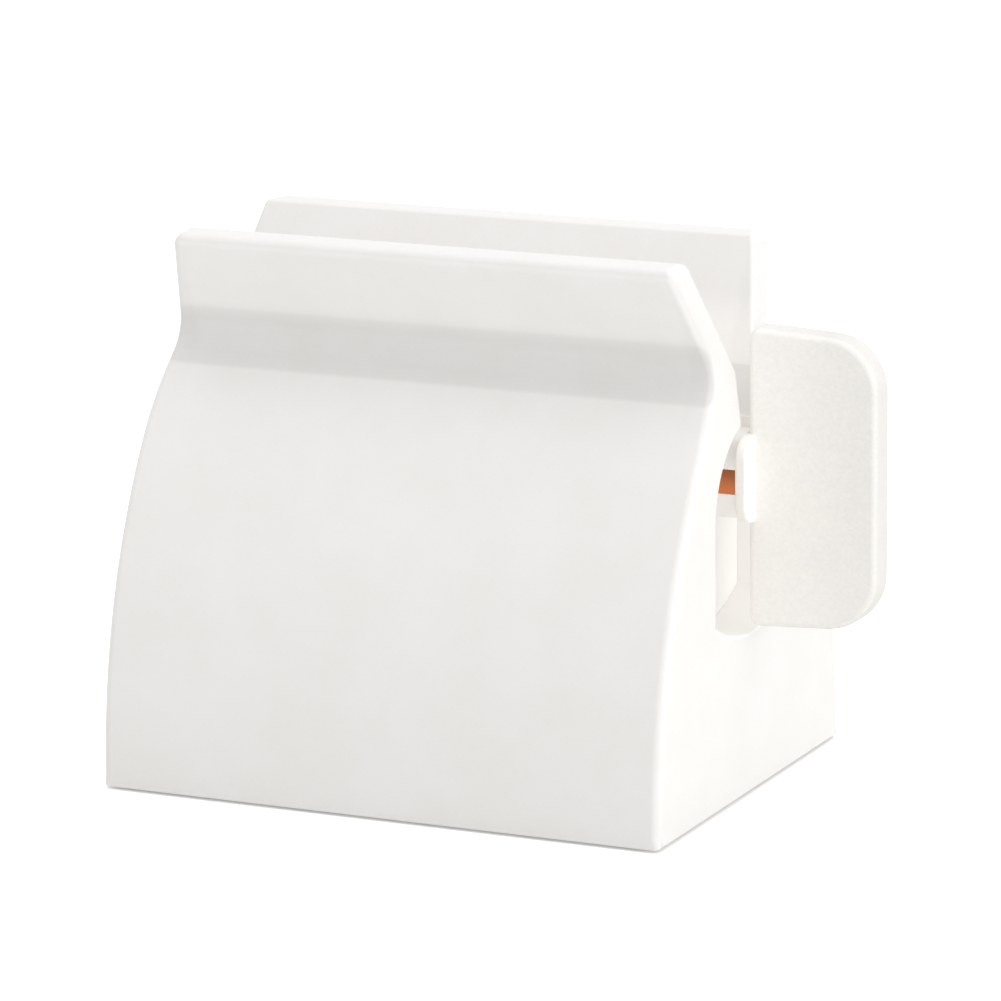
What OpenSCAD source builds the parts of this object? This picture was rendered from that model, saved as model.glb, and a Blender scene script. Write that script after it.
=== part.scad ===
// Toothpaste tube squeezer stand with a winding key
// The stand's origin is on the table, under the middle of the body.
// X runs along the winding shaft towards the paddle and Z is up.

/* [Body] */
// Length of the body at its foot, along the shaft
body_l = 80; // [74:1:100]
// Depth of the body at its foot, front to back
body_d = 64; // [60:1:72]
// Height of the lips above the table
body_h = 72; // [70:0.5:76]
// Radius of the curved front and back walls
wall_r = 80; // [76:1:90]
// Height at which the front and back walls stand upright
wall_level = 2; // [0:0.5:6]
// Thickness of the front and back walls
wall_t = 2.4; // [1.6:0.1:3]
// Thickness of the end walls
end_wall_t = 2.6; // [1.6:0.1:3.2]
// Radius of the slightly curved end faces
end_r = 600; // [400:10:900]
// Height at which the end faces stand upright
end_level = 10; // [4:1:16]
// Thickness of the stiffening ribs inside the hollow foot
rib_t = 1.6; // [1.2:0.1:2.4]
// Distance between the two stiffening ribs
rib_spacing = 28; // [20:1:44]

/* [Lips and throat] */
// Depth across the outer edges of both lips
lip_d = 32.4; // [31:0.2:36]
// Thickness of a lip, measured level
lip_t = 5.4; // [4.6:0.1:6]
// Lean of the lips away from upright
lip_angle = 21.7; // [20:0.1:24]
// Radius of the outer groove under the lips
neck_r = 5; // [3:0.5:7]
// Radius of the lips' outer top edges
lip_edge_r = 1.4; // [0.6:0.1:1.8]
// Radius of the lips' inner top edges
lip_inner_r = 0.8; // [0.4:0.1:1.2]
// Shortening of each end between the neck and the top of the lips
lip_setback = 2.9; // [1:0.1:4]
// Radius of the lips' end corners
lip_corner_r = 1.8; // [0.8:0.1:3]
// Width of the throat that the tube's tail passes
throat_w = 5.8; // [4.6:0.1:6.4]

/* [Winding chamber] */
// Width of the chamber at its ends, where the bearings sit
chamber_w = 24; // [23:0.5:25]
// Height of the centre of the chamber's arched top
arch_level = 38; // [37.5:0.1:38.5]
// Height of the middle of the chamber's floor
floor_level = 21.8; // [19:0.1:23]
// Radius of the dished floor
floor_r = 24; // [20:1:40]
// Thickness of the chamber's wall towards the hollow foot
chamber_wall_t = 2; // [1.6:0.1:2.4]
// Step that the bearings stop against
ledge = 0.6; // [0.4:0.1:0.8]

/* [Bearings] */
// Distance of a bearing's outer face from the end of the foot
bearing_inset = 7.2; // [5.5:0.1:9]
// Thickness of a bearing
bearing_t = 5; // [4:0.1:7]
// Gap between a bearing and the chamber's wall
seat_gap = 0.08; // [0.05:0.01:0.15]
// Radius of the upright snap ridges
snap_r = 0.5; // [0.3:0.1:0.6]
// Height of the snap ridges
snap_h = 9; // [5:0.5:11]
// Lift of the snap ridges above the middle of the bearing
snap_lift = 2; // [0:0.5:4]

/* [Key] */
// Height of the shaft's axis
axis_level = 42.8; // [42.5:0.1:43]
// Diameter of the winding shaft
shaft_d = 11.8; // [11:0.1:12]
// Diameter of the journal at the shaft's left end
journal_d = 7; // [5:0.1:8]
// Radial running clearance in both bearings
run_gap = 0.06; // [0.03:0.01:0.1]
// End float between the key and the left bearing, on each side
end_float = 0.25; // [0.2:0.05:0.6]
// Height of the slot for the tube's tail
slot_h = 3.3; // [2.8:0.1:3.8]
// Solid length of the shaft between the slot and its left shoulder
slot_end = 3; // [2:0.5:6]
// Thickness of each leaf of the grip liner
liner_t = 0.7; // [0.4:0.1:0.9]
// Length of the liner's solid end
liner_stop = 5; // [3:0.5:8]
// Set-back of the liner from the shaft's surface
liner_inset = 0.35; // [0.2:0.05:0.8]
// Diameter of the cap on the journal
cap_d = 11; // [9:0.5:12]
// Length of the cap on the journal
cap_l = 4; // [3:0.5:5]
// Depth of the journal inside the cap
cap_grip = 2.8; // [2:0.1:3]
// Radial clearance between the cap and the journal
cap_gap = 0.02; // [0.01:0.01:0.05]
// Radius of the cap's outer edge
cap_edge_r = 1; // [0.5:0.1:1.2]

/* [Paddle] */
// Gap between the paddle and the end of the foot
paddle_gap = 0.4; // [0.3:0.05:1.5]
// Length of the paddle, away from the body
paddle_l = 18.2; // [14:0.1:26]
// Height of the paddle at its root
paddle_root_h = 39.4; // [30:0.2:40]
// Height of the paddle's outline at its far edge, before rounding
paddle_tip_h = 37.8; // [28:0.2:39]
// Thickness of the paddle
paddle_t = 4.6; // [3.6:0.1:5]
// Radius of the paddle's outer corners
paddle_corner_r = 7.2; // [4:0.1:9]
// Radius of the paddle's inner corners
paddle_root_r = 1.6; // [1.4:0.1:3]
// Radius of the paddle's rounded rim
paddle_edge_r = 1.1; // [0.5:0.1:1.3]
// Distance that the end disc stands beyond the paddle's inner edge
disc_reach = 0.5; // [0.2:0.1:2]
// Thickness of the end disc
disc_t = 1.1; // [0.8:0.1:2]
// Length of the two tangs that hold the paddle in the shaft
tang_l = 9; // [5:0.5:12]
// Width of a tang
tang_w = 3.2; // [2:0.1:4]
// Height of a tang
tang_h = 1.8; // [1.2:0.1:2]
// Clearance round a tang
tang_gap = 0.08; // [0.05:0.01:0.15]
// Shift of each tang towards the slot, from the middle of the shaft's wall
tang_shift = 0.15; // [0.1:0.05:0.2]

/* [Base] */
// Thickness of the base plate
plate_t = 2; // [1.6:0.1:3]
// Gap between the base plate and the walls
plate_gap = 0.15; // [0.1:0.05:0.3]
// Radius of the snap ridges on the base plate
plate_snap_r = 0.6; // [0.4:0.1:0.7]
// Length of the snap ridges on the base plate
plate_snap_l = 16; // [8:1:20]
// Length of the non-slip pad
pad_l = 66; // [40:1:68]
// Depth of the non-slip pad
pad_d = 48; // [30:1:52]
// Thickness of the non-slip pad
pad_t = 1.2; // [0.8:0.1:1.6]
// Radius of the pad's corners
pad_corner_r = 5; // [2:0.5:10]
// Height of the body's foot above the table
foot_gap = 0.4; // [0.2:0.05:0.7]

/* [Hidden] */
$fn = 96;
EPS = 0.01;
BIG = 200;
SHELL = "WhiteSmoke";

// Front wall: centre of its arc, taken on the side of positive depth
arc_c = [body_d / 2 - wall_r, wall_level];
lip_h = lip_d / 2;
slope = tan(lip_angle);
// Centre of the groove's arc, which touches both the wall and the lip
groove_p = lip_h - slope * body_h + neck_r / cos(lip_angle);
groove_a = 1 + slope * slope;
groove_b = 2 * (slope * (groove_p - arc_c[0]) - arc_c[1]);
groove_k = pow(groove_p - arc_c[0], 2) + pow(arc_c[1], 2) - pow(wall_r + neck_r, 2);
groove_z = (-groove_b + sqrt(groove_b * groove_b - 4 * groove_a * groove_k)) / (2 * groove_a);
groove_c = [groove_p + slope * groove_z, groove_z];
touch_wall = arc_c + (groove_c - arc_c) * wall_r / (wall_r + neck_r);
touch_lip = groove_c - neck_r * [cos(lip_angle), -sin(lip_angle)];
neck_level = groove_c[1];

// Funnel between the lips
mouth_h = lip_h - lip_t;
throat_h = throat_w / 2;
throat_top = body_h - (mouth_h - throat_h) / slope;
chamber_h = chamber_w / 2;

// Stations along the shaft
end_x = body_l / 2;
bearing_x = end_x - bearing_inset;
bearing_in_x = bearing_x - bearing_t;
paddle_x = end_x + paddle_gap;
disc_x = paddle_x + disc_reach;
shaft_x = disc_x - disc_t;
shoulder_x = -bearing_in_x + end_float;
cap_x = -bearing_x - end_float;
slot_x = shoulder_x + slot_end;
journal_x = cap_x - cap_grip;
shaft_r = shaft_d / 2;
journal_r = journal_d / 2;
tang_z = (slot_h / 2 + shaft_r) / 2 - tang_shift;

// Half length of the body at a height, on the curved end face
function end_at(z) = end_x - end_r + sqrt(end_r * end_r - pow(max(z - end_level, 0), 2));
neck_x = end_at(neck_level);
plate_top = foot_gap + plate_t;

// Helpers for outlines with true round corners
function unit(v) = v / norm(v);
function prev_of(p, i) = p[(i + len(p) - 1) % len(p)];
function next_of(p, i) = p[(i + 1) % len(p)];
function turn(p, i) = cross(p[i] - prev_of(p, i), next_of(p, i) - p[i]);
function arm_a(p, i) = unit(prev_of(p, i) - p[i]);
function arm_b(p, i) = unit(next_of(p, i) - p[i]);
function half_angle(p, i) = acos(arm_a(p, i) * arm_b(p, i)) / 2;
function corner(p, r, i) = r[i] == 0 ? [p[i]] :
  [for (arm = [arm_a(p, i), arm_b(p, i)]) p[i] + arm * r[i] / tan(half_angle(p, i))];
function centre(p, r, i) = p[i] + unit(arm_a(p, i) + arm_b(p, i)) * r[i] / sin(half_angle(p, i));

// Outline with a round corner of its own radius at each point, listed anticlockwise
module rounded_outline(p, r) {
  difference() {
    union() {
      polygon([for (i = [0:len(p) - 1]) each corner(p, r, i)]);
      for (i = [0:len(p) - 1])
        if (r[i] > 0 && turn(p, i) > 0)
          translate(centre(p, r, i)) circle(r[i]);
    }
    for (i = [0:len(p) - 1])
      if (r[i] > 0 && turn(p, i) < 0)
        translate(centre(p, r, i)) circle(r[i]);
  }
}

module both_sides() {
  children();
  mirror([1, 0]) children();
}

// Stretches a depth and height outline along the shaft, from x0 to x1
module along_x(x0, x1) {
  translate([x0, 0, 0])
    rotate([90, 0, 90])
      linear_extrude(x1 - x0) children();
}

module along_y(depth) {
  rotate([90, 0, 0])
    linear_extrude(depth, center = true) children();
}

// Cross-section between the two curved walls, drawn in by an inset
module wall_section(z0, z1, inset) {
  intersection() {
    translate([-BIG / 2, z0]) square([BIG, z1 - z0]);
    translate(arc_c) circle(wall_r - inset, $fn = 360);
    mirror([1, 0]) translate(arc_c) circle(wall_r - inset, $fn = 360);
  }
}

// Cross-section of the body: walls, grooved neck and flared lips, cut by the throat and the chamber
module body_section() {
  join = touch_lip[1];
  join_h = throat_h + (join - throat_top) * slope;
  difference() {
    union() {
      wall_section(foot_gap, touch_wall[1], 0);
      polygon([[-touch_wall[0], touch_wall[1]], touch_wall, touch_lip, [-touch_lip[0], touch_lip[1]]]);
      both_sides() rounded_outline(
        [[join_h, join], touch_lip, [lip_h, body_h], [mouth_h, body_h]],
        [0, 0, lip_edge_r, lip_inner_r]);
    }
    both_sides() translate(groove_c) circle(neck_r);
    polygon([[-throat_h, arch_level], [throat_h, arch_level], [throat_h, throat_top],
      [join_h, join], [-join_h, join], [-throat_h, throat_top]]);
    chamber_section(-ledge);
  }
}

// Arched chamber with a dished floor, grown or shrunk by a step all round
module chamber_section(step) {
  h = chamber_h + step;
  translate([0, arch_level]) circle(h);
  intersection() {
    translate([-h, floor_level - step]) square([2 * h, arch_level - floor_level + step]);
    translate([0, floor_level + floor_r]) circle(floor_r + step, $fn = 180);
  }
}

// Front view of the body: an upright foot under slightly curved ends
module end_outline(inset) {
  translate([-end_x + inset, -1]) square([body_l - 2 * inset, end_level + 1]);
  intersection() {
    translate([-end_x, end_level]) square([body_l, BIG / 2]);
    translate([end_x - end_r, end_level]) circle(end_r - inset, $fn = 1440);
    translate([end_r - end_x, end_level]) circle(end_r - inset, $fn = 1440);
  }
}

// Front view with the lips' ends leaning in from the neck to the top
module trimmed_outline() {
  lean = lip_setback / (body_h - neck_level);
  out_x = end_x + 2;
  low_z = neck_level - (out_x - neck_x) / lean;
  intersection() {
    end_outline(0);
    rounded_outline(
      [[-out_x, -2], [out_x, -2], [out_x, low_z], [neck_x - lip_setback, body_h],
       [lip_setback - neck_x, body_h], [-out_x, low_z]],
      [0, 0, 0, lip_corner_r, lip_corner_r, 0]);
  }
}

// Hollow between the outer walls and the chamber, open underneath
module hollow_section() {
  difference() {
    wall_section(foot_gap - 1, throat_top - wall_t, wall_t);
    chamber_section(chamber_wall_t);
    translate([-throat_h - wall_t, arch_level]) square([throat_w + 2 * wall_t, BIG]);
  }
}

module body() {
  color(SHELL) difference() {
    intersection() {
      along_x(-end_x - 1, end_x + 1) body_section();
      along_y(BIG) trimmed_outline();
    }
    along_x(bearing_in_x, end_x + 1) chamber_section(0);
    along_x(-end_x - 1, -bearing_in_x) chamber_section(0);
    difference() {
      intersection() {
        along_x(-end_x, end_x) hollow_section();
        along_y(BIG) end_outline(end_wall_t);
      }
      for (side = [-1, 1])
        translate([side * rib_spacing / 2 - rib_t / 2, -BIG / 2, plate_top])
          cube([rib_t, BIG, BIG]);
    }
    snap_ridges(snap_r + seat_gap, snap_h + 2 * seat_gap);
    plate_ridges(plate_snap_r + seat_gap, plate_snap_l + 2 * seat_gap);
  }
}

// Upright ridges on both bearings, and the grooves for them in the body
module snap_ridges(r, h) {
  x = bearing_in_x + bearing_t / 2;
  z = (floor_level + arch_level) / 2 + snap_lift;
  for (side = [-1, 1], face = [-1, 1])
    translate([side * x, face * (chamber_h - seat_gap), z])
      cylinder(r = r, h = h, center = true);
}

// Half width of the hollow foot at a height
function hollow_at(z) = arc_c[0] + sqrt(pow(wall_r - wall_t, 2) - pow(z - arc_c[1], 2));

module plate_ridges(r, l) {
  x = rib_spacing / 2 + plate_snap_l / 2 + rib_t;
  z = foot_gap + plate_t / 2;
  for (side = [-1, 1], face = [-1, 1])
    translate([side * x, face * (hollow_at(z) - plate_gap), z])
      rotate([0, 90, 0]) cylinder(r = r, h = l, center = true);
}

module bearing_blank(side) {
  x0 = side > 0 ? bearing_in_x : -bearing_x;
  along_x(x0, x0 + bearing_t) difference() {
    chamber_section(-seat_gap);
    translate([-throat_h, axis_level]) square([throat_w, BIG]);
  }
  intersection() {
    snap_ridges(snap_r, snap_h);
    translate([side > 0 ? 0 : -BIG, -BIG / 2, 0]) cube(BIG);
  }
}

module bearing_right() {
  color(SHELL) difference() {
    bearing_blank(1);
    translate([0, 0, axis_level]) rotate([0, 90, 0]) cylinder(r = shaft_r + run_gap, h = BIG);
  }
}

module bearing_left() {
  color(SHELL) difference() {
    bearing_blank(-1);
    translate([-BIG, 0, axis_level]) rotate([0, 90, 0]) cylinder(r = journal_r + run_gap, h = BIG);
  }
}

module tangs(gap) {
  for (face = [-1, 1])
    translate([shaft_x - tang_l - gap, -tang_w / 2 - gap, axis_level + face * tang_z - tang_h / 2 - gap])
      cube([tang_l + gap + EPS, tang_w + 2 * gap, tang_h + 2 * gap]);
}

module shaft() {
  color(SHELL) difference() {
    translate([0, 0, axis_level]) rotate([0, 90, 0]) {
      translate([0, 0, shoulder_x]) cylinder(r = shaft_r, h = shaft_x - shoulder_x);
      translate([0, 0, journal_x]) cylinder(r = journal_r, h = shoulder_x - journal_x + 1);
    }
    translate([slot_x, -BIG / 2, axis_level - slot_h / 2]) cube([BIG, BIG, slot_h]);
    tangs(tang_gap);
  }
}

module grip_liner() {
  half = sqrt(pow(shaft_r, 2) - pow(slot_h / 2, 2)) - liner_inset;
  color("SandyBrown") translate([slot_x, -half, axis_level - slot_h / 2]) difference() {
    cube([shaft_x - slot_x, 2 * half, slot_h]);
    translate([-1, -1, liner_t])
      cube([shaft_x - slot_x - liner_stop + 1, 2 * half + 2, slot_h - 2 * liner_t]);
  }
}

// Disc with a rounded rim, its flat faces square to Y
module rimmed_disc(x, z, r) {
  translate([x, 0, z]) rotate([90, 0, 0]) rotate_extrude($fn = 40) intersection() {
    hull() for (level = [paddle_edge_r, paddle_t - paddle_edge_r], end = [-1, 1])
      translate([end * (r - paddle_edge_r), level]) circle(paddle_edge_r, $fn = 24);
    square([r, paddle_t]);
  }
}

module paddle() {
  root = paddle_root_h / 2;
  tip = paddle_tip_h / 2;
  far_x = paddle_x + paddle_l;
  color("Ivory") {
    translate([0, paddle_t / 2, axis_level]) hull() {
      for (face = [-1, 1]) {
        rimmed_disc(paddle_x + paddle_root_r, face * (root - paddle_root_r), paddle_root_r);
        rimmed_disc(far_x - paddle_corner_r, face * (tip - paddle_corner_r), paddle_corner_r);
      }
    }
    translate([shaft_x, 0, axis_level]) rotate([0, 90, 0]) cylinder(r = shaft_r, h = disc_t);
    tangs(0);
  }
}

module end_cap() {
  color(SHELL) translate([cap_x, 0, axis_level]) rotate([0, -90, 0]) difference() {
    rotate_extrude() rounded_outline(
      [[0, 0], [cap_d / 2, 0], [cap_d / 2, cap_l], [0, cap_l]],
      [0, 0, cap_edge_r, 0]);
    translate([0, 0, -1]) cylinder(r = journal_r + cap_gap, h = cap_grip + 1);
  }
}

module base_plate() {
  color("Gainsboro") difference() {
    union() {
      intersection() {
        along_x(-end_x, end_x) wall_section(foot_gap, plate_top, wall_t + plate_gap);
        along_y(BIG) end_outline(end_wall_t + plate_gap);
      }
      plate_ridges(plate_snap_r, plate_snap_l);
    }
    pad_shape(-1, pad_t, plate_gap);
  }
}

// Rounded outline of the pad, grown by a clearance for the recess that it lies in
module pad_shape(z0, z1, grow) {
  x = pad_l / 2 + grow;
  y = pad_d / 2 + grow;
  r = pad_corner_r + grow;
  translate([0, 0, z0]) linear_extrude(z1 - z0)
    rounded_outline([[-x, -y], [x, -y], [x, y], [-x, y]], [r, r, r, r]);
}

module base_pad() {
  color("Silver") pad_shape(0, pad_t, 0);
}

body();
base_plate();
base_pad();
bearing_right();
bearing_left();
shaft();
grip_liner();
paddle();
end_cap();
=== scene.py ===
import math

import bmesh
import bpy
from mathutils import Matrix, Vector


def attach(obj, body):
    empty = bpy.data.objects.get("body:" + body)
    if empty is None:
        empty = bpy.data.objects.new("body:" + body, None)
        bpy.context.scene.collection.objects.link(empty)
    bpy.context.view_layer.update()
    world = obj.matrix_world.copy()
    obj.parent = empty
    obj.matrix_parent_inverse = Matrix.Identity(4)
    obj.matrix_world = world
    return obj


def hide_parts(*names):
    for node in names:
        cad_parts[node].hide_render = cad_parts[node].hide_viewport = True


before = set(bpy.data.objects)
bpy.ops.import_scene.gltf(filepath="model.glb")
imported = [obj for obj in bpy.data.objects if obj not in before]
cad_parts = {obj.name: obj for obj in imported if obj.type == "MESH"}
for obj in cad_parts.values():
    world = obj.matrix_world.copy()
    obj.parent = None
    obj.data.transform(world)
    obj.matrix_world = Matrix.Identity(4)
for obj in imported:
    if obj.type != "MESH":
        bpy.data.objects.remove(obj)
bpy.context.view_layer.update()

mm = 0.001
white = (1.0, 1.0, 1.0, 1.0)
print("frame loaded", len(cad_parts), "nodes")


# Camera: stands at the photograph's place, aimed at the middle of the stand
camera = {
    "target": (4.01, 0.0, 36.12),  # millimetres
    "distance": 790.1,
    "yaw": 24.85,  # degrees round the stand, towards the key
    "pitch": 13.00,  # degrees down
    "roll": -0.57,
    "sensor": 36,
    "lens": 6000 * 36 / 1001,  # 6000 pixels long, for a frame that is 1001 pixels wide
    "clip": (0.05, 20),  # metres
}


def placeCamera(view):
    yaw, pitch, roll = (math.radians(view[key]) for key in ("yaw", "pitch", "roll"))
    level = Vector((math.cos(yaw), math.sin(yaw), 0.0))
    ahead = Vector((-math.sin(yaw) * math.cos(pitch), math.cos(yaw) * math.cos(pitch),
                    -math.sin(pitch)))
    above = level.cross(ahead)
    right = math.cos(roll) * level + math.sin(roll) * above
    up = math.cos(roll) * above - math.sin(roll) * level
    data = bpy.data.cameras.new("photoCamera")
    data.sensor_width = view["sensor"]
    data.lens = view["lens"]
    data.clip_start, data.clip_end = view["clip"]
    viewer = bpy.data.objects.new("photoCamera", data)
    turn = Matrix((right, up, -ahead)).transposed().to_4x4()
    spot = (Vector(view["target"]) - view["distance"] * ahead) * mm
    viewer.matrix_world = Matrix.Translation(spot) @ turn
    bpy.context.scene.collection.objects.link(viewer)
    bpy.context.scene.camera = viewer


placeCamera(camera)
print("camera placed")


# Node helpers, in which a value that is a socket is linked
def addNode(tree, kind, **settings):
    node = tree.nodes.new(kind)
    for name, value in settings.items():
        setattr(node, name, value)
    return node


def mathNode(tree, operation, *values):
    node = addNode(tree, "ShaderNodeMath", operation=operation)
    for socket, value in zip(node.inputs, values):
        if isinstance(value, bpy.types.NodeSocket):
            tree.links.new(value, socket)
        else:
            socket.default_value = value
    return node.outputs[0]


def plus(tree, first, second):
    return mathNode(tree, "ADD", first, second)


def minus(tree, first, second):
    return mathNode(tree, "SUBTRACT", first, second)


def times(tree, first, second):
    return mathNode(tree, "MULTIPLY", first, second)


# Studio: a white room with soft lights, most of them on the key's side and overhead
# Places and sizes in metres
studio = {
    "room": 0.76,  # even light from all round
    "aim": (0.0, 0.0, 0.035),  # what the lamps face
    "lamps": {
        "side": {"at": (1.7, -0.34, 0.24), "size": (0.7, 0.42), "watts": 5.7},
        "wideSide": {"at": (1.7, -0.30, 0.30), "size": (1.5, 0.5), "watts": 3.2},
        "highSide": {"at": (1.45, -0.35, 0.95), "size": (1.6, 1.2), "watts": 2.5},
        "left": {"at": (-1.5, -0.3, 0.8), "size": (1.4, 1.2), "watts": 1.6},
        "top": {"at": (0.1, 0.1, 1.7), "size": (1.6, 1.6), "watts": 10.1},
    },
    "floor": {
        "colour": (0.8, 0.8, 0.79, 1.0), "rough": 0.9, "shine": 0.2,
        "glow": 0.28,  # everywhere
        "openGlow": 0.26,  # added where nothing stands near, so the floor is painted darker round the foot
        "near": 0.009, "below": 0.00002, "radius": 3.0, "sides": 96,
    },
}


def addSoftbox(name, lamp, aim):
    data = bpy.data.lights.new(name, "AREA")
    data.shape = "RECTANGLE"
    data.size, data.size_y = lamp["size"]
    data.energy = lamp["watts"]
    softbox = bpy.data.objects.new(name, data)
    softbox.location = lamp["at"]
    softbox.rotation_mode = "QUATERNION"
    softbox.rotation_quaternion = (Vector(aim) - softbox.location).to_track_quat("-Z", "Y")
    bpy.context.scene.collection.objects.link(softbox)


def makeRoom(strength):
    # Lights the part at the given strength, and is plain white to the camera and in reflections
    world = bpy.data.worlds.new("studioRoom")
    world.use_nodes = True
    tree = world.node_tree
    tree.nodes.clear()
    rays = addNode(tree, "ShaderNodeLightPath").outputs
    shown = mathNode(tree, "MAXIMUM", rays["Is Camera Ray"], rays["Is Glossy Ray"])
    shown = mathNode(tree, "MAXIMUM", shown, rays["Is Transmission Ray"])
    light = mathNode(tree, "MULTIPLY_ADD", shown, 1.0 - strength, strength)
    back = addNode(tree, "ShaderNodeBackground")
    back.inputs["Color"].default_value = white
    tree.links.new(light, back.inputs["Strength"])
    out = addNode(tree, "ShaderNodeOutputWorld")
    tree.links.new(back.outputs[0], out.inputs["Surface"])
    bpy.context.scene.world = world


def makeFloor(paper):
    # The floor's own glow, seen by the camera alone, lifts it to the photograph's white,
    # and is weaker where the stand is near, which paints a shadow round the foot and along the dark
    # line where the foot almost touches the table
    paint = bpy.data.materials.new("floorPaper")
    paint.use_nodes = True
    tree = paint.node_tree
    shader = tree.nodes["Principled BSDF"]
    shader.inputs["Base Color"].default_value = paper["colour"]
    shader.inputs["Roughness"].default_value = paper["rough"]
    shader.inputs["Specular IOR Level"].default_value = paper["shine"]
    rays = addNode(tree, "ShaderNodeLightPath")
    # Painted shadow: the glow fades where the stand is near
    clear = addNode(tree, "ShaderNodeAmbientOcclusion", samples=8)
    clear.inputs["Distance"].default_value = paper["near"]
    glow = mathNode(tree, "MULTIPLY_ADD", clear.outputs["AO"], paper["openGlow"], paper["glow"])
    glow = times(tree, rays.outputs["Is Camera Ray"], glow)
    shader.inputs["Emission Color"].default_value = white
    tree.links.new(glow, shader.inputs["Emission Strength"])
    mesh = bmesh.new()
    bmesh.ops.create_circle(mesh, cap_ends=True, segments=paper["sides"], radius=paper["radius"])
    data = bpy.data.meshes.new("floor")
    mesh.to_mesh(data)
    mesh.free()
    data.transform(Matrix.Translation((0, 0, -paper["below"])))
    data.materials.append(paint)
    floor = bpy.data.objects.new("floor", data)
    bpy.context.scene.collection.objects.link(floor)


for lampName, lampSpec in studio["lamps"].items():
    addSoftbox(lampName + "Softbox", lampSpec, studio["aim"])
makeRoom(studio["room"])
makeFloor(studio["floor"])
bpy.context.scene.view_settings.view_transform = "Standard"
print("studio lit")


# Moulded plastic: the shader group that all paints share
noiseDetail = {"cloud": 3.0, "grain": 2.0}
noiseSpan = (0.35, 0.65)  # the values that the cloud noise mostly keeps to
grainContrast = 4.0


def makeGroup(name, inputs, outputs):
    group = bpy.data.node_groups.new(name, "ShaderNodeTree")
    for label, kind, value in inputs:
        socket = group.interface.new_socket(label, in_out="INPUT", socket_type=kind)
        if value is not None:
            socket.default_value = value
    for label, kind in outputs:
        group.interface.new_socket(label, in_out="OUTPUT", socket_type=kind)
    return group, group.nodes.new("NodeGroupInput"), group.nodes.new("NodeGroupOutput")


def makeMoulded():
    # Wide cloudy tone, fine eroded grain and a height for its bump
    group, given, result = makeGroup("mouldedPlastic", [
        ("Vector", "NodeSocketVector", None),
        ("Colour", "NodeSocketColor", white),
        ("Cloud Colour", "NodeSocketColor", white),
        ("Cloud Size", "NodeSocketFloat", 12.0),
        ("Grain Size", "NodeSocketFloat", 0.4),
        ("Grain Tone", "NodeSocketFloat", 0.03),
        ("Roughness", "NodeSocketFloat", 0.4),
        ("Roughness Range", "NodeSocketFloat", 0.08),
    ], [
        ("Colour", "NodeSocketColor"),
        ("Roughness", "NodeSocketFloat"),
        ("Height", "NodeSocketFloat"),
    ])
    cloud = addNode(group, "ShaderNodeTexNoise")
    grain = addNode(group, "ShaderNodeTexNoise")
    for texture, size, detail in ((cloud, "Cloud Size", noiseDetail["cloud"]),
                                  (grain, "Grain Size", noiseDetail["grain"])):
        scale = mathNode(group, "DIVIDE", 1.0 / mm, given.outputs[size])
        group.links.new(given.outputs["Vector"], texture.inputs["Vector"])
        group.links.new(scale, texture.inputs["Scale"])
        texture.inputs["Detail"].default_value = detail
    spread = addNode(group, "ShaderNodeMapRange")
    spread.inputs["From Min"].default_value = noiseSpan[0]
    spread.inputs["From Max"].default_value = noiseSpan[1]
    group.links.new(cloud.outputs["Fac"], spread.inputs["Value"])
    base = addNode(group, "ShaderNodeMix", data_type="RGBA")
    group.links.new(spread.outputs["Result"], base.inputs[0])
    group.links.new(given.outputs["Colour"], base.inputs[6])
    group.links.new(given.outputs["Cloud Colour"], base.inputs[7])
    # Both noises lie about one half
    grainOff = minus(group, grain.outputs["Fac"], 0.5)
    cloudOff = minus(group, cloud.outputs["Fac"], 0.5)
    tone = times(group, grainOff, given.outputs["Grain Tone"])
    tone = mathNode(group, "MULTIPLY_ADD", tone, grainContrast, 1.0)
    tinted = addNode(group, "ShaderNodeVectorMath", operation="SCALE")
    group.links.new(base.outputs[2], tinted.inputs[0])
    group.links.new(tone, tinted.inputs["Scale"])
    group.links.new(tinted.outputs[0], result.inputs["Colour"])
    wander = times(group, cloudOff, given.outputs["Roughness Range"])
    speck = times(group, grainOff, given.outputs["Roughness Range"])
    rough = plus(group, plus(group, wander, speck), given.outputs["Roughness"])
    group.links.new(rough, result.inputs["Roughness"])
    group.links.new(grain.outputs["Fac"], result.inputs["Height"])
    return group


mouldedPlastic = makeMoulded()
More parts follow.
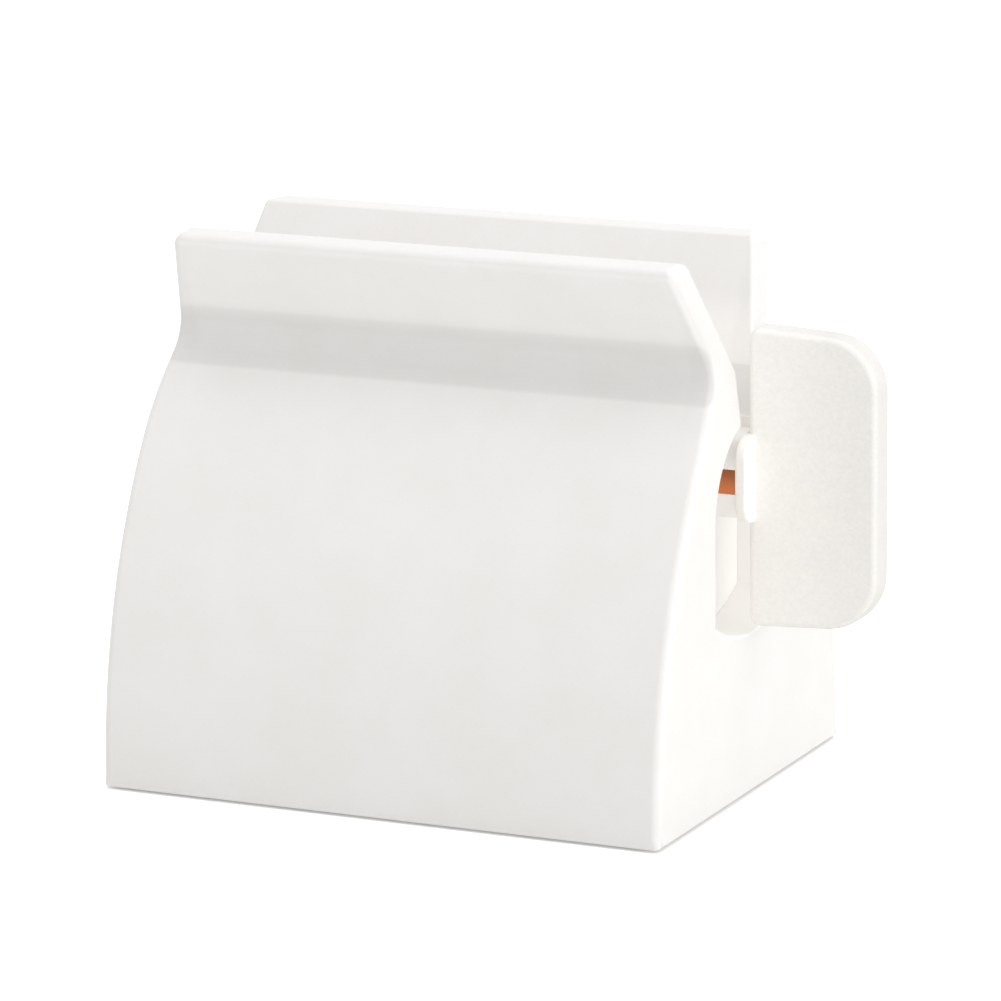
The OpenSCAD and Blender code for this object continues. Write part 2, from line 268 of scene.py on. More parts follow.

# Sizes in millimetres; the glow is painted light of the part's own, standing in for the light that
# thin plastic lets through
plasticIor = 1.49
plastics = {
    "shell": {
        "colour": (0.83, 0.815, 0.795), "cloud": (0.845, 0.833, 0.82), "cloudSize": 9.0,
        "grainSize": 0.30, "grainTone": 0.010, "rough": 0.42, "roughRange": 0.10,
        "bump": 0.35, "grainDepth": 0.012,
    },
    "paddle": {
        "colour": (0.925, 0.905, 0.865), "cloud": (0.91, 0.89, 0.86), "cloudSize": 4.5,
        "grainSize": 0.42, "grainTone": 0.030, "rough": 0.50, "roughRange": 0.16,
        "bump": 0.55, "grainDepth": 0.03,
    },
    "bearing": {
        "colour": (0.93, 0.92, 0.89), "cloud": (0.92, 0.91, 0.885), "cloudSize": 5.0,
        "grainSize": 0.25, "grainTone": 0.010, "rough": 0.38, "roughRange": 0.10,
        # painted glow: a faint light of the bearing parts' own
        "bump": 0.3, "grainDepth": 0.01, "glow": 0.03, "glowTint": (1.0, 0.99, 0.95),
    },
    "liner": {
        "colour": (0.49, 0.148, 0.05), "cloud": (0.455, 0.135, 0.045), "cloudSize": 3.0,
        "grainSize": 0.2, "grainTone": 0.04, "rough": 0.62, "roughRange": 0.15,
        "bump": 0.5, "grainDepth": 0.015, "shine": 0.35,
        # painted glow: a faint orange light of the liner's own
        "glow": 0.03, "glowTint": (1.0, 0.35, 0.15),
    },
    "plate": {
        "colour": (0.80, 0.79, 0.775), "cloud": (0.82, 0.81, 0.80), "cloudSize": 8.0,
        "grainSize": 0.35, "grainTone": 0.015, "rough": 0.5, "roughRange": 0.12,
        "bump": 0.4, "grainDepth": 0.015,
    },
    "pad": {
        "colour": (0.42, 0.42, 0.42), "cloud": (0.46, 0.46, 0.455), "cloudSize": 6.0,
        "grainSize": 0.5, "grainTone": 0.06, "rough": 0.85, "roughRange": 0.12,
        "bump": 0.8, "grainDepth": 0.05, "shine": 0.25,
    },
}


def makePlastic(name, look):
    paint = bpy.data.materials.new(name)
    paint.use_nodes = True
    tree = paint.node_tree
    shader = tree.nodes["Principled BSDF"]
    shader.inputs["IOR"].default_value = plasticIor
    shader.inputs["Specular IOR Level"].default_value = look.get("shine", 0.5)
    # Painted glow, for the paints that have one
    if "glow" in look:
        shader.inputs["Emission Color"].default_value = (*look["glowTint"], 1.0)
        shader.inputs["Emission Strength"].default_value = look["glow"]
    skin = addNode(tree, "ShaderNodeGroup", node_tree=mouldedPlastic)
    place = addNode(tree, "ShaderNodeTexCoord")
    tree.links.new(place.outputs["Object"], skin.inputs["Vector"])
    skin.inputs["Colour"].default_value = (*look["colour"], 1.0)
    skin.inputs["Cloud Colour"].default_value = (*look["cloud"], 1.0)
    skin.inputs["Cloud Size"].default_value = look["cloudSize"]
    skin.inputs["Grain Size"].default_value = look["grainSize"]
    skin.inputs["Grain Tone"].default_value = look["grainTone"]
    skin.inputs["Roughness"].default_value = look["rough"]
    skin.inputs["Roughness Range"].default_value = look["roughRange"]
    bump = addNode(tree, "ShaderNodeBump")
    bump.inputs["Strength"].default_value = look["bump"]
    bump.inputs["Distance"].default_value = look["grainDepth"] * mm
    tree.links.new(skin.outputs["Height"], bump.inputs["Height"])
    tree.links.new(skin.outputs["Colour"], shader.inputs["Base Color"])
    tree.links.new(skin.outputs["Roughness"], shader.inputs["Roughness"])
    tree.links.new(bump.outputs["Normal"], shader.inputs["Normal"])
    return paint


paints = {name: makePlastic(name + "Plastic", look) for name, look in plastics.items()}
print("materials ready", len(paints))


# Steps that every piece goes through
def settle(piece):
    # Turns the piece with its modifiers into a plain mesh
    shapes = bpy.context.evaluated_depsgraph_get()
    data = bpy.data.meshes.new_from_object(
        piece.evaluated_get(shapes), preserve_all_data_layers=True, depsgraph=shapes)
    data.name = piece.name
    piece.modifiers.clear()
    piece.data = data


def makePiece(name, mesh, paint):
    data = bpy.data.meshes.new(name)
    mesh.to_mesh(data)
    mesh.free()
    data.transform(Matrix.Scale(mm, 4))
    data.materials.append(paint)
    data.shade_smooth()
    piece = bpy.data.objects.new(name, data)
    bpy.context.scene.collection.objects.link(piece)
    return piece


def evenNormals(piece, sharpAngle):
    # Broad faces keep their own direction and only the narrow rims turn the light
    piece.data.set_sharp_from_angle(angle=math.radians(sharpAngle))
    weighted = piece.modifiers.new("evenNormals", "WEIGHTED_NORMAL")
    weighted.keep_sharp = True
    settle(piece)


def standFor(piece, nodeName, body):
    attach(piece, body)
    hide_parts(nodeName)


# Body: one section swept between two curved ends, with the round rims that a mould leaves
# Millimetres and degrees; the section runs in depth (y) and height (z)
bodyShape = {
    "height": 72.0, "footGap": 0.4, "sharpAngle": 38,
    "wallCentre": (-49.3, 2.0), "wallRadius": 80.0, "wallSteps": 40,
    "grooveRadius": 4.0, "grooveSteps": 16,
    "lipOut": 16.6, "lipThick": 5.6, "lipLean": 28.4,
    "lipEdge": 1.4, "lipSteps": 10, "lipInner": 0.8, "innerSteps": 6,
    "throatHalf": 2.9,
    "chamberHalf": 12.0, "archLevel": 38.0, "archSteps": 19,
    "dishLevel": 21.8, "dishRadius": 24.0, "dishSteps": 10,
    "seatFrom": 27.8, "ledge": 0.6,  # the chamber is narrower between the bearings' seats
    "halfLength": 39.8, "bendLevel": 44.6, "bendRadius": 75.0, "endLean": 12.7,
    "rimWall": 1.3, "rimLip": 1.3, "rimTop": 1.5, "rimInner": 0.65, "rimThroat": 0.45,
    "rimChamber": 0.35, "rimFoot": 0.3, "rimSteps": 6,
    "endFrom": 30.0, "endStep": 1.5,  # where the end faces lie, and how finely they are cut
    "pocket": (37.3, 28.28, 2.7),  # half length, half depth and height
}
softTurn = 0.35  # sine of a corner's turn, below which its two insets are averaged


def arcAbout(centre, radius, start, stop, count):
    angles = [math.radians(start + (stop - start) * i / count) for i in range(count + 1)]
    return [(centre[0] + radius * math.cos(a), centre[1] + radius * math.sin(a)) for a in angles]


def angleOf(centre, point):
    return math.degrees(math.atan2(point[1] - centre[1], point[0] - centre[0]))


def bodyNeck(shape):
    # Centre of the groove's arc, which touches the wall's arc and the lip's outer face
    lean = math.radians(shape["lipLean"])
    slope = math.tan(lean)
    edge = shape["lipOut"] - slope * shape["height"] + shape["grooveRadius"] / math.cos(lean)
    wallY, wallZ = shape["wallCentre"]
    reach = shape["wallRadius"] + shape["grooveRadius"]
    # Its height is the higher root of a quadratic
    square = 1 + slope * slope
    linear = 2 * (slope * (edge - wallY) - wallZ)
    constant = (edge - wallY) ** 2 + wallZ ** 2 - reach ** 2
    z = (-linear + math.sqrt(linear * linear - 4 * square * constant)) / (2 * square)
    return (edge + slope * z, z)


def bodyHalf(shape, step):
    # Points of the section on the side of positive depth, each with the rim radius of the
    # edge after it; the step narrows the chamber
    points = []

    def add(path, rim):
        points.extend((y, z, rim) for y, z in path)

    lean = math.radians(shape["lipLean"])
    slope = math.tan(lean)
    top = shape["height"]
    wall, neck = shape["wallCentre"], bodyNeck(shape)
    low = math.degrees(math.asin((shape["footGap"] - wall[1]) / shape["wallRadius"]))
    high = angleOf(wall, neck)
    add(arcAbout(wall, shape["wallRadius"], low, high, shape["wallSteps"]), shape["rimWall"])
    groove = arcAbout(neck, shape["grooveRadius"], high + 180, 180 - shape["lipLean"],
                      shape["grooveSteps"])
    add(groove[1:], shape["rimWall"])
    # Lip: outer corner, top and inner corner
    edge, inner = shape["lipEdge"], shape["lipInner"]
    outY = shape["lipOut"] - slope * edge - edge / math.cos(lean)
    add(arcAbout((outY, top - edge), edge, -shape["lipLean"], 90, shape["lipSteps"]),
        shape["rimLip"])
    points[-1] = (*points[-1][:2], shape["rimTop"])
    inY = shape["lipOut"] - shape["lipThick"] - slope * inner + inner / math.cos(lean)
    add(arcAbout((inY, top - inner), inner, 90, 180 - shape["lipLean"], shape["innerSteps"]),
        shape["rimInner"])
    # Throat and arch, where the stepped section starts at the same corner as the wide one
    throat = shape["throatHalf"]
    throatTop = top - (shape["lipOut"] - shape["lipThick"] - throat) / slope
    add([(throat, throatTop)], shape["rimThroat"])
    half = shape["chamberHalf"] - step
    start = math.degrees(math.acos(throat / half))
    arch = (0.0, shape["archLevel"])
    if step:
        corner = shape["archLevel"] + math.sqrt(shape["chamberHalf"] ** 2 - throat ** 2)
        add([(throat, corner)], shape["rimChamber"])
        add(arcAbout(arch, half, start, 0, shape["archSteps"] - 1), shape["rimChamber"])
    else:
        add(arcAbout(arch, half, start, 0, shape["archSteps"]), shape["rimChamber"])
    # Dished floor
    dish = (0.0, shape["dishLevel"] + shape["dishRadius"])
    radius = shape["dishRadius"] - step
    side = -90 + math.degrees(math.asin(half / radius))
    add(arcAbout(dish, radius, side, -90, shape["dishSteps"]), shape["rimChamber"])
    return points


def bodyOutline(shape, step):
    half = bodyHalf(shape, step)
    rims = [point[2] for point in half]
    other = [(-half[i][0], half[i][1], rims[i - 1]) for i in range(len(half) - 2, 0, -1)]
    return half + other + [(-half[0][0], half[0][1], shape["rimFoot"])]


def endAt(shape, z):
    # Half length at a height: upright, then a bend, then leaning inwards
    lean, radius = math.radians(shape["endLean"]), shape["bendRadius"]
    rise = z - shape["bendLevel"]
    if rise <= 0:
        return shape["halfLength"]
    turned = min(rise, radius * math.sin(lean))
    bent = radius - math.sqrt(radius ** 2 - turned ** 2)
    return shape["halfLength"] - bent - (rise - turned) * math.tan(lean)


def insetPoint(outline, i, share):
    # The outline's corner i, moved into the plastic by a share of the rim radii on both sides
    here, before, after = outline[i], outline[i - 1], outline[(i + 1) % len(outline)]
    first = (Vector(here[:2]) - Vector(before[:2])).normalized()
    second = (Vector(after[:2]) - Vector(here[:2])).normalized()
    normals = (Vector((-first.y, first.x)), Vector((-second.y, second.x)))
    moves = (before[2] * share, here[2] * share)
    turn = normals[0].x * normals[1].y - normals[0].y * normals[1].x
    if abs(turn) < softTurn:
        middle = (normals[0] + normals[1]).normalized() * (moves[0] + moves[1]) / 2
        return Vector(here[:2]) + middle
    y = (moves[0] * normals[1].y - moves[1] * normals[0].y) / turn
    z = (normals[0].x * moves[1] - normals[1].x * moves[0]) / turn
    return Vector(here[:2]) + Vector((y, z))


def endRings(mesh, shape, side, ends, middle):
    # Rings of one end, from its flat face over the round rim to the bearing's seat
    rings = []
    for k in range(shape["rimSteps"] + 1):
        angle = math.pi / 2 * (1 - k / shape["rimSteps"])
        ring = []
        for i, point in enumerate(ends):
            spot = insetPoint(ends, i, 1 - math.cos(angle))
            depth = (point[2] + ends[i - 1][2]) / 2 * (1 - math.sin(angle))
            reach = side * (endAt(shape, spot.y) - depth)
            ring.append(mesh.verts.new((reach, spot.x, spot.y)))
        rings.append(ring)
    for outline in (ends, middle):
        rings.append([mesh.verts.new((side * shape["seatFrom"], y, z)) for y, z, _ in outline])
    return rings


def capEnd(mesh, shape, side, ring):
    # Closes one end, with level cuts that let the face follow the bend
    cap = mesh.faces.new(ring if side > 0 else ring[::-1])
    level = shape["bendLevel"]
    bendTop = level + shape["bendRadius"] * math.sin(math.radians(shape["endLean"])) + 1
    while level < bendTop:
        faces = [face for face in mesh.faces if abs(face.normal.x) > 0.9 or face == cap]
        faces = [face for face in faces
                 if all(vert.co.x * side > shape["endFrom"] for vert in face.verts)]
        edges = {edge for face in faces for edge in face.edges}
        verts = {vert for face in faces for vert in face.verts}
        bmesh.ops.bisect_plane(mesh, geom=[*faces, *edges, *verts], plane_co=(0, 0, level),
                               plane_no=(0, 0, 1), dist=1e-5)
        level += shape["endStep"]


def makeBody(shape):
    ends, middle = bodyOutline(shape, 0.0), bodyOutline(shape, shape["ledge"])
    count = len(ends)
    mesh = bmesh.new()
    right = endRings(mesh, shape, 1, ends, middle)
    left = endRings(mesh, shape, -1, ends, middle)
    chain = right + left[::-1]
    for first, second in zip(chain, chain[1:]):
        for i in range(count):
            j = (i + 1) % count
            mesh.faces.new((first[j], first[i], second[i], second[j]))
    capEnd(mesh, shape, 1, right[0])
    capEnd(mesh, shape, -1, left[0])
    # The points that the cuts added are drawn in to the bent face
    for vert in mesh.verts:
        if len(vert.link_edges) < 4 and abs(vert.co.x) > shape["endFrom"]:
            limit = endAt(shape, vert.co.z)
            vert.co.x = math.copysign(min(abs(vert.co.x), limit), vert.co.x)
    bmesh.ops.remove_doubles(mesh, verts=mesh.verts, dist=1e-4)
    bmesh.ops.recalc_face_normals(mesh, faces=mesh.faces)
    return mesh


def cutPocket(piece, size):
    # Recess under the foot, which the base plate fills
    mesh = bmesh.new()
    bmesh.ops.create_cube(mesh, size=2.0)
    for vert in mesh.verts:
        height = size[2] if vert.co.z > 0 else -1.0
        vert.co = Vector((vert.co.x * size[0], vert.co.y * size[1], height))
    cutter = makePiece("pocketCutter", mesh, piece.data.materials[0])
    cut = piece.modifiers.new("pocket", "BOOLEAN")
    cut.object = cutter
    cut.solver = "EXACT"
    settle(piece)
    bpy.data.objects.remove(cutter)


# Painted light and shade: how bright each piece is painted over its surface, as a tone and, in the
# body, a painted glow
# Tones are shares of the paint, and spans are millimetres from the form that they belong to
# Painted shade in the groove and on the lips' ends, painted light on the lips' outer faces, and
# painted glows in the chamber, throat and inner lips
bodyLight = {
    "groove": 0.10, "grooveTop": 0.55, "grooveFade": (0.25, 0.6), "grooveRise": (-3.0, 3.0),
    "lip": 0.10, "lipFade": (-0.5, -0.15), "lipRise": (2.0, 5.0),
    "tip": 0.03, "tipFrom": (34.5, 36.0), "tipRise": (0.0, 12.0),
    "chamberGlow": 0.15, "chamberFade": (0.1, 0.5), "archFade": (-0.1, 0.1),
    "dishFade": (0.1, 0.4),
    "throatGlow": 0.08, "throatFade": (0.2, 0.5), "throatRise": (11.0, 12.0),
    "innerGlow": 0.16, "innerFade": (0.15, 0.5), "innerRise": (0.0, 8.0),
    "glowTint": (1.0, 0.975, 0.92),
}
# Painted light and shade along one axis: the paddle lighter towards the stand with painted shade on
# its rim, the liner lighter below and darker above
slopes = {
    "paddle": {"axis": 0, "span": (40.0, 58.0), "tones": (1.045, 0.945),
               "rimSpan": (1.5, 2.25), "rimTones": (0.86, 1.0)},
    "liner": {"axis": 2, "span": (41.0, 44.4), "tones": (1.5, 0.66)},
}
toneOutput = ("Tone", "NodeSocketFloat")
glowOutput = ("Glow", "NodeSocketColor")


def makeShade(name, outputs):
    group, given, result = makeGroup(name, [("Vector", "NodeSocketVector", None)], outputs)
    split = addNode(group, "ShaderNodeSeparateXYZ")
    group.links.new(given.outputs["Vector"], split.inputs[0])
    spot = [times(group, split.outputs[i], 1.0 / mm) for i in range(3)]
    return group, spot, result


def ramp(tree, value, span, low=0.0, high=1.0, base=0.0):
    # Smooth step from low to high over the span, which starts from the base
    node = addNode(tree, "ShaderNodeMapRange", interpolation_type="SMOOTHSTEP")
    for label, number in (("From Min", base + span[0]), ("From Max", base + span[1]),
                          ("To Min", low), ("To Max", high)):
        node.inputs[label].default_value = number
    tree.links.new(value, node.inputs["Value"])
    return node.outputs["Result"]


def distance(tree, first, second, centre):
    squares = [mathNode(tree, "POWER", minus(tree, value, middle), 2.0)
               for value, middle in zip((first, second), centre)]
    return mathNode(tree, "SQRT", plus(tree, *squares))


def makeBodyShade(shape, light):
    # Painted shade in the groove, painted light on the outer faces of the lips, and a painted glow
    # inside the chamber
    tree, (x, y, z), result = makeShade("bodyShade", [toneOutput, glowOutput])
    away = mathNode(tree, "ABSOLUTE", y)
    neck = bodyNeck(shape)
    # Painted shade in the groove, deepest at its lower end
    groove = ramp(tree, distance(tree, away, z, neck), light["grooveFade"], 1.0, 0.0,
                  base=shape["grooveRadius"])
    climb = ramp(tree, z, light["grooveRise"], light["groove"],
                 light["groove"] * light["grooveTop"], base=neck[1])
    dark = times(tree, groove, climb)
    lean = math.radians(shape["lipLean"])
    # Painted light on the outer faces of the lips
    offFace = minus(tree, times(tree, minus(tree, away, shape["lipOut"]), math.cos(lean)),
                    times(tree, minus(tree, z, shape["height"]), math.sin(lean)))
    lip = times(tree, ramp(tree, offFace, light["lipFade"]),
                ramp(tree, z, light["lipRise"], 0.0, light["lip"], base=neck[1]))
    # Painted shade on the ends of the lips, which lean back towards the light overhead
    lengthwise = mathNode(tree, "ABSOLUTE", x)
    tip = times(tree, ramp(tree, lengthwise, light["tipFrom"], 0.0, light["tip"]),
                ramp(tree, z, light["tipRise"], base=shape["bendLevel"]))
    tone = plus(tree, minus(tree, minus(tree, 1.0, dark), tip), lip)
    tree.links.new(tone, result.inputs["Tone"])
    # Painted glow in the chamber, the upper throat and the inner faces of the lips
    half, archLevel = shape["chamberHalf"], shape["archLevel"]
    arch = ramp(tree, distance(tree, away, z, (0.0, archLevel)), light["chamberFade"], 1.0, 0.0,
                base=half)
    pit = times(tree, ramp(tree, away, light["chamberFade"], 1.0, 0.0, base=half),
                ramp(tree, z, light["archFade"], 1.0, 0.0, base=archLevel))
    dish = distance(tree, away, z, (0.0, shape["dishLevel"] + shape["dishRadius"]))
    pit = times(tree, pit, ramp(tree, dish, light["dishFade"], 1.0, 0.0, base=shape["dishRadius"]))
    chamber = times(tree, mathNode(tree, "MAXIMUM", arch, pit), light["chamberGlow"])
    throat = times(tree, ramp(tree, away, light["throatFade"], light["throatGlow"], 0.0,
                              base=shape["throatHalf"]),
                   ramp(tree, z, light["throatRise"], base=archLevel))
    offInner = plus(tree, offFace, shape["lipThick"] * math.cos(lean))
    inner = times(tree, ramp(tree, offInner, light["innerFade"], 1.0, 0.0),
                  ramp(tree, z, light["innerRise"], light["innerGlow"], 0.0, base=neck[1]))
    glow = mathNode(tree, "MAXIMUM", mathNode(tree, "MAXIMUM", chamber, throat), inner)
    tinted = addNode(tree, "ShaderNodeVectorMath", operation="SCALE")
    tinted.inputs[0].default_value = light["glowTint"]
    tree.links.new(glow, tinted.inputs["Scale"])
    tree.links.new(tinted.outputs[0], result.inputs["Glow"])
    return tree


def makeSlopeShade(name, slope):
    # Painted light and shade: a tone that changes along one axis, and is lower on the rim, between
    # the two faces, as painted shade
    tree, spot, result = makeShade(name, [toneOutput])
    tone = ramp(tree, spot[slope["axis"]], slope["span"], *slope["tones"])
    # Painted shade on the rim
    if "rimSpan" in slope:
        depth = mathNode(tree, "ABSOLUTE", spot[1])
        tone = times(tree, tone, ramp(tree, depth, slope["rimSpan"], *slope["rimTones"]))
    tree.links.new(tone, result.inputs["Tone"])
    return tree


def applyShade(paint, group):
    # Multiplies the paint's colour by the painted tone, and adds the painted glow where the group
    # has one
    tree = paint.node_tree
    shader = tree.nodes["Principled BSDF"]
    place = next(node for node in tree.nodes if node.type == "TEX_COORD")
    shade = addNode(tree, "ShaderNodeGroup", node_tree=group)
    tree.links.new(place.outputs["Object"], shade.inputs["Vector"])
    toned = addNode(tree, "ShaderNodeVectorMath", operation="SCALE")
    tree.links.new(shader.inputs["Base Color"].links[0].from_socket, toned.inputs[0])
    tree.links.new(shade.outputs["Tone"], toned.inputs["Scale"])
    tree.links.new(toned.outputs[0], shader.inputs["Base Color"])
    if "Glow" in shade.outputs:
        tree.links.new(shade.outputs["Glow"], shader.inputs["Emission Color"])
        shader.inputs["Emission Strength"].default_value = 1.0


applyShade(paints["shell"], makeBodyShade(bodyShape, bodyLight))
for paintName, paintSlope in slopes.items():
    applyShade(paints[paintName], makeSlopeShade(paintName + "Shade", paintSlope))
print("shades applied")

squeezerBody = makePiece("squeezerBody", makeBody(bodyShape), paints["shell"])
cutPocket(squeezerBody, bodyShape["pocket"])
evenNormals(squeezerBody, bodyShape["sharpAngle"])
standFor(squeezerBody, "body", "stand")
print("body made", len(squeezerBody.data.polygons), "faces")


# Geometry Nodes: helpers and the plate with a rounded rim that the paddle and the pad share
cornerSteps = 14
weldWithin = 0.002  # millimetres


def addInputs(tree, inputs):
    for label, kind, value in inputs:
        socket = tree.interface.new_socket(label, in_out="INPUT", socket_type=kind)
        if value is not None:
            socket.default_value = value
    tree.interface.new_socket("Geometry", in_out="OUTPUT", socket_type="NodeSocketGeometry")
    return tree.nodes.new("NodeGroupInput").outputs, tree.nodes.new("NodeGroupOutput").inputs


def wire(tree, kind, values, **settings):
    # Adds a node, with a list of sockets linked to one input; returns its outputs
    node = addNode(tree, kind, **settings)
    for key, value in values.items():
        for one in value if isinstance(value, list) else [value]:
            if isinstance(one, bpy.types.NodeSocket):
                tree.links.new(one, node.inputs[key])
            else:
                node.inputs[key].default_value = one
    return node.outputs


def moved(tree, geometry, **move):
    return wire(tree, "GeometryNodeTransform", {"Geometry": geometry, **move})[0]


def makeRimmedPlate():
    # Flat plate with a rounded rim: half a rounded rectangle swept round a closed outline
    tree = bpy.data.node_groups.new("rimmedPlate", "GeometryNodeTree")
    given, result = addInputs(tree, [
        ("Outline", "NodeSocketGeometry", None),
        ("Thickness", "NodeSocketFloat", 4.6 * mm),
        ("Rim", "NodeSocketFloat", 1.0 * mm),
        ("Steps", "NodeSocketInt", 7),
    ])
    # Profile: a lower and an upper quarter circle, each with the given number of points
    line = wire(tree, "GeometryNodeMeshLine", {"Count": times(tree, given["Steps"], 2.0)})
    index = wire(tree, "GeometryNodeInputIndex", {})[0]
    upper = mathNode(tree, "GREATER_THAN", index, minus(tree, given["Steps"], 0.5))
    place = mathNode(tree, "MODULO", index, given["Steps"])
    share = mathNode(tree, "DIVIDE", place, minus(tree, given["Steps"], 1.0))
    angle = times(tree, plus(tree, minus(tree, share, 1.0), upper), math.pi / 2)
    side = minus(tree, times(tree, upper, 2.0), 1.0)
    half = mathNode(tree, "DIVIDE", given["Thickness"], 2.0)
    straight = minus(tree, half, given["Rim"])
    outward = times(tree, mathNode(tree, "COSINE", angle), given["Rim"])
    upward = plus(tree, times(tree, mathNode(tree, "SINE", angle), given["Rim"]),
                  times(tree, side, straight))
    spot = wire(tree, "ShaderNodeCombineXYZ", {"X": outward, "Y": upward})[0]
    bent = wire(tree, "GeometryNodeSetPosition", {"Geometry": line[0], "Position": spot})[0]
    profile = wire(tree, "GeometryNodeMeshToCurve", {"Mesh": bent})[0]
    rim = wire(tree, "GeometryNodeCurveToMesh",
               {"Curve": given["Outline"], "Profile Curve": profile})[0]
    flat = wire(tree, "GeometryNodeFillCurve", {"Curve": given["Outline"]}, mode="NGONS")[0]
    rise = wire(tree, "ShaderNodeCombineXYZ", {"Z": half})[0]
    drop = wire(tree, "ShaderNodeCombineXYZ", {"Z": times(tree, half, -1.0)})[0]
    above = moved(tree, flat, Translation=rise)
    below = wire(tree, "GeometryNodeFlipFaces", {"Mesh": moved(tree, flat, Translation=drop)})[0]
    joined = wire(tree, "GeometryNodeJoinGeometry", {"Geometry": [rim, above, below]})[0]
    welded = wire(tree, "GeometryNodeMergeByDistance",
                  {"Geometry": joined, "Distance": weldWithin * mm})[0]
    tree.links.new(welded, result[0])
    return tree


rimmedPlate = makeRimmedPlate()


def addPlate(tree, outline, thickness, rim, steps):
    return wire(tree, "GeometryNodeGroup", {"Outline": outline, "Thickness": thickness,
                                            "Rim": rim, "Steps": steps},
                node_tree=rimmedPlate)[0]


def roundedTrapezoid(tree, sizes, corners, rim):
    # Closed outline drawn in by the rim; sizes are the lower side, the upper side and the height,
    # and corners are the lower and the upper radius
    inset = times(tree, rim, 2.0)
    lower, upper, tall = (minus(tree, size, inset) for size in sizes)
    sharp = wire(tree, "GeometryNodeCurvePrimitiveQuadrilateral",
                 {"Height": tall, "Bottom Width": lower, "Top Width": upper, "Offset": 0.0},
                 mode="TRAPEZOID")[0]
    spot = wire(tree, "ShaderNodeSeparateXYZ",
                {0: wire(tree, "GeometryNodeInputPosition", {})[0]})
    isUpper = mathNode(tree, "GREATER_THAN", spot["Y"], 0.0)
    change = times(tree, minus(tree, corners[1], corners[0]), isUpper)
    radius = minus(tree, plus(tree, change, corners[0]), rim)
    return wire(tree, "GeometryNodeFilletCurve",
                {"Curve": sharp, "Count": cornerSteps, "Radius": radius}, mode="POLY")[0]


def finishTree(tree, geometry, material, result):
    plain = wire(tree, "GeometryNodeRealizeInstances", {"Geometry": geometry})[0]
    painted = wire(tree, "GeometryNodeSetMaterial", {"Geometry": plain, "Material": material})[0]
    tree.links.new(painted, result)


def runTree(name, tree, paint):
    # Evaluates the tree on an empty mesh and keeps the plain result
    piece = makePiece(name, bmesh.new(), paint)
    builder = piece.modifiers.new("builder", "NODES")
    builder.node_group = tree
    for item in tree.interface.items_tree:
        isInput = item.item_type == "SOCKET" and item.in_out == "INPUT"
        if isInput and item.socket_type == "NodeSocketMaterial":
            builder[item.identifier] = paint
    settle(piece)
    return piece


# Paddle: flat grip with a rounded rim, a hub plate and two tangs that plug into the shaft
# Millimetres; places are measured along the shaft's axis
paddleShape = {
    "axisLevel": 42.8, "sharpAngle": 38,
    "innerEnd": 40.15, "length": 17.75, "rootHeight": 39.4, "tipHeight": 37.8, "thickness": 4.6,
    "outerRadius": 7.2, "rootRadius": 1.6, "rim": 0.9, "rimSteps": 8,
    "hubFrom": 39.7, "hubThickness": 1.55, "hubSize": 11.5, "hubCorner": 2.9,
    "hubRim": 0.35, "hubSteps": 5,
    "tangLength": 8.9, "tangWidth": 3.2, "tangHeight": 1.8, "tangOffset": 3.625, "tangRoot": 0.4,
}


def makePaddleTree(shape):
    tree = bpy.data.node_groups.new("paddleBuilder", "GeometryNodeTree")
    labels = {"Length": "length", "Root Height": "rootHeight", "Tip Height": "tipHeight",
              "Thickness": "thickness", "Outer Radius": "outerRadius",
              "Root Radius": "rootRadius", "Rim": "rim", "Hub Size": "hubSize",
              "Hub Corner": "hubCorner", "Hub Thickness": "hubThickness", "Hub Rim": "hubRim"}
    given, result = addInputs(tree, [
        ("Geometry", "NodeSocketGeometry", None),
        *[(label, "NodeSocketFloat", shape[key] * mm) for label, key in labels.items()],
        ("Rim Steps", "NodeSocketInt", shape["rimSteps"]),
        ("Material", "NodeSocketMaterial", None),
    ])

    def onAxis(along, above=0.0):
        return (along * mm, 0, (shape["axisLevel"] + above) * mm)

    outline = roundedTrapezoid(tree, (given["Root Height"], given["Tip Height"], given["Length"]),
                               (given["Root Radius"], given["Outer Radius"]), given["Rim"])
    blade = addPlate(tree, outline, given["Thickness"], given["Rim"], given["Rim Steps"])
    upright = Matrix(((0, 1, 0), (0, 0, 1), (1, 0, 0))).to_euler()
    parts = [moved(tree, blade, Rotation=upright,
                   Translation=onAxis(shape["innerEnd"] + shape["length"] / 2))]
    outline = roundedTrapezoid(tree, [given["Hub Size"]] * 3, [given["Hub Corner"]] * 2,
                               given["Hub Rim"])
    hub = addPlate(tree, outline, given["Hub Thickness"], given["Hub Rim"], shape["hubSteps"])
    parts.append(moved(tree, hub, Rotation=(0, math.pi / 2, 0),
                       Translation=onAxis(shape["hubFrom"] + shape["hubThickness"] / 2)))
    reach = shape["tangLength"] + shape["tangRoot"]
    tangSize = (reach * mm, shape["tangWidth"] * mm, shape["tangHeight"] * mm)
    tangMiddle = shape["hubFrom"] + shape["tangRoot"] - reach / 2
    for face in (1, -1):
        tang = wire(tree, "GeometryNodeMeshCube", {"Size": tangSize})[0]
        parts.append(moved(tree, tang, Translation=onAxis(tangMiddle, face * shape["tangOffset"])))
    union = wire(tree, "GeometryNodeMeshBoolean", {"Mesh 2": parts},
                 operation="UNION", solver="EXACT")[0]
    finishTree(tree, union, given["Material"], result[0])
    return tree


grip = runTree("paddleGrip", makePaddleTree(paddleShape), paints["paddle"])
evenNormals(grip, paddleShape["sharpAngle"])
standFor(grip, "paddle", "key")
print("paddle made", len(grip.data.polygons), "faces")


# Pad: thin rubber sheet on rows of short studs, in millimetres
padShape = {
    "length": 66.0, "depth": 48.0, "corner": 6.0, "rim": 0.2, "rimSteps": 4,
    "sheetFrom": 0.45, "top": 1.2, "sharpAngle": 30,
    "studPitch": 3.0, "studRadius": 1.0, "studTip": 0.75, "studSides": 12,
    "studSunk": 0.1,  # how far a stud goes into the sheet
    "margin": 2.2, "cornerMargin": 1.6,  # from a stud's middle to the sheet's edge
}


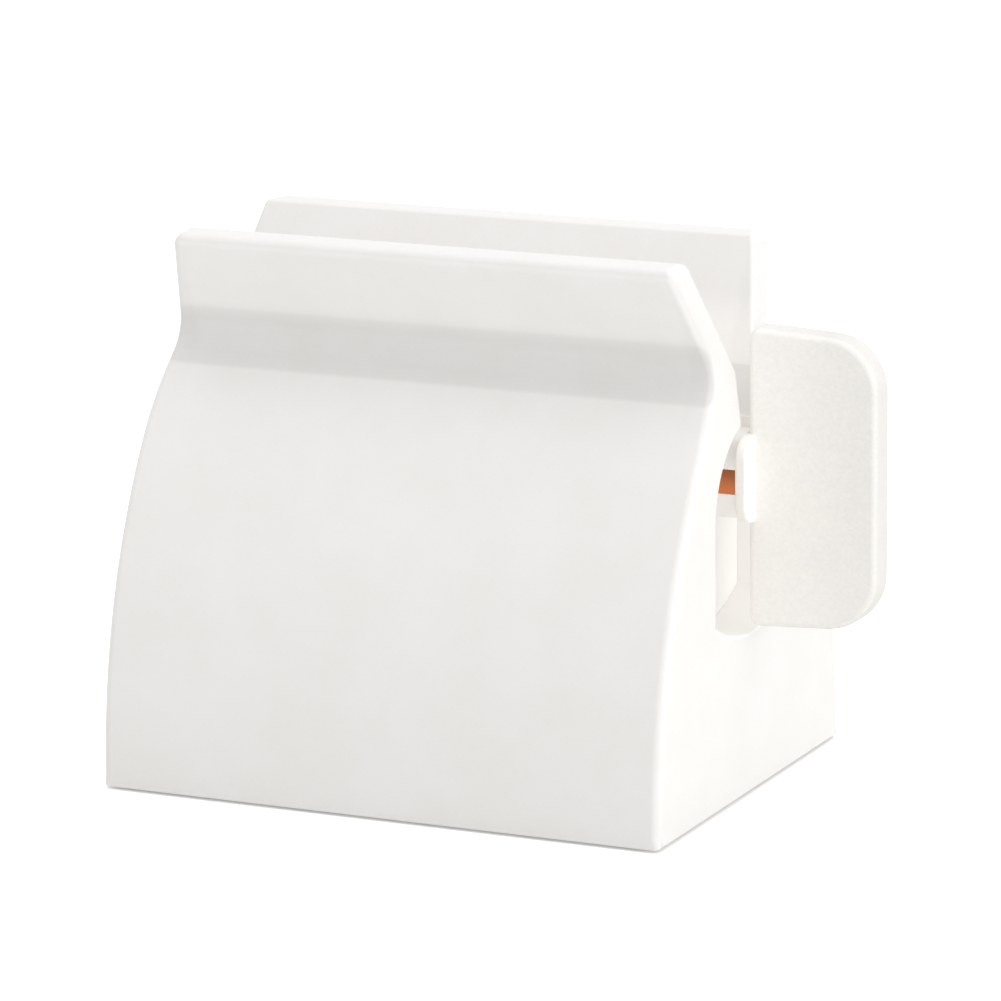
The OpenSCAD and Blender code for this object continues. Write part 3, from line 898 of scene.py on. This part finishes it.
def makePadTree(shape):
    tree = bpy.data.node_groups.new("padBuilder", "GeometryNodeTree")
    labels = {"Length": "length", "Depth": "depth", "Corner": "corner", "Rim": "rim",
              "Stud Radius": "studRadius"}
    counts = {"Columns": "length", "Rows": "depth"}
    given, result = addInputs(tree, [
        ("Geometry", "NodeSocketGeometry", None),
        *[(label, "NodeSocketFloat", shape[key] * mm) for label, key in labels.items()],
        *[(label, "NodeSocketInt", int((shape[key] - 2 * shape["margin"]) / shape["studPitch"]) + 1)
          for label, key in counts.items()],
        ("Material", "NodeSocketMaterial", None),
    ])
    outline = roundedTrapezoid(tree, (given["Length"], given["Length"], given["Depth"]),
                               (given["Corner"], given["Corner"]), given["Rim"])
    thick = shape["top"] - shape["sheetFrom"]
    sheet = addPlate(tree, outline, thick * mm, given["Rim"], shape["rimSteps"])
    sheet = moved(tree, sheet, Translation=(0, 0, (shape["sheetFrom"] + thick / 2) * mm))
    spread = [times(tree, minus(tree, given[label], 1.0), shape["studPitch"] * mm)
              for label in counts]
    grid = wire(tree, "GeometryNodeMeshGrid",
                {"Size X": spread[0], "Size Y": spread[1],
                 "Vertices X": given["Columns"], "Vertices Y": given["Rows"]})[0]
    stud = wire(tree, "GeometryNodeMeshCone",
                {"Vertices": shape["studSides"], "Radius Top": given["Stud Radius"],
                 "Radius Bottom": shape["studTip"] * mm,
                 "Depth": (shape["sheetFrom"] + shape["studSunk"]) * mm})[0]
    rows = wire(tree, "GeometryNodeInstanceOnPoints", {"Points": grid, "Instance": stud})[0]
    # Studs that would stand past the sheet's round corners are left out
    spot = wire(tree, "ShaderNodeSeparateXYZ",
                {0: wire(tree, "GeometryNodeInputPosition", {})[0]})
    over = [minus(tree, mathNode(tree, "ABSOLUTE", spot[axis]),
                  (shape[key] / 2 - shape["corner"]) * mm)
            for axis, key in (("X", "length"), ("Y", "depth"))]
    both = times(tree, mathNode(tree, "GREATER_THAN", over[0], 0.0),
                 mathNode(tree, "GREATER_THAN", over[1], 0.0))
    squares = plus(tree, *[mathNode(tree, "POWER", value, 2.0) for value in over])
    outside = mathNode(tree, "GREATER_THAN", mathNode(tree, "SQRT", squares),
                       (shape["corner"] - shape["cornerMargin"]) * mm)
    kept = wire(tree, "GeometryNodeDeleteGeometry",
                {"Geometry": rows, "Selection": times(tree, both, outside)},
                domain="INSTANCE")[0]
    joined = wire(tree, "GeometryNodeJoinGeometry", {"Geometry": [sheet, kept]})[0]
    finishTree(tree, joined, given["Material"], result[0])
    return tree


pad = runTree("studdedPad", makePadTree(padShape), paints["pad"])
evenNormals(pad, padShape["sharpAngle"])
standFor(pad, "base_pad", "stand")
print("pad made", len(pad.data.polygons), "faces")


# The CAD's own meshes, and the paint that each wears
worn = {
    "bearing_right": "bearing", "bearing_left": "bearing", "shaft": "bearing",
    "end_cap": "bearing", "grip_liner": "liner", "base_plate": "plate",
}


def dress(nodeName, paint):
    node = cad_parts[nodeName]
    node.data.materials.clear()
    node.data.materials.append(paint)


for nodeName, paintName in worn.items():
    dress(nodeName, paints[paintName])
print("CAD pieces dressed", len(worn))
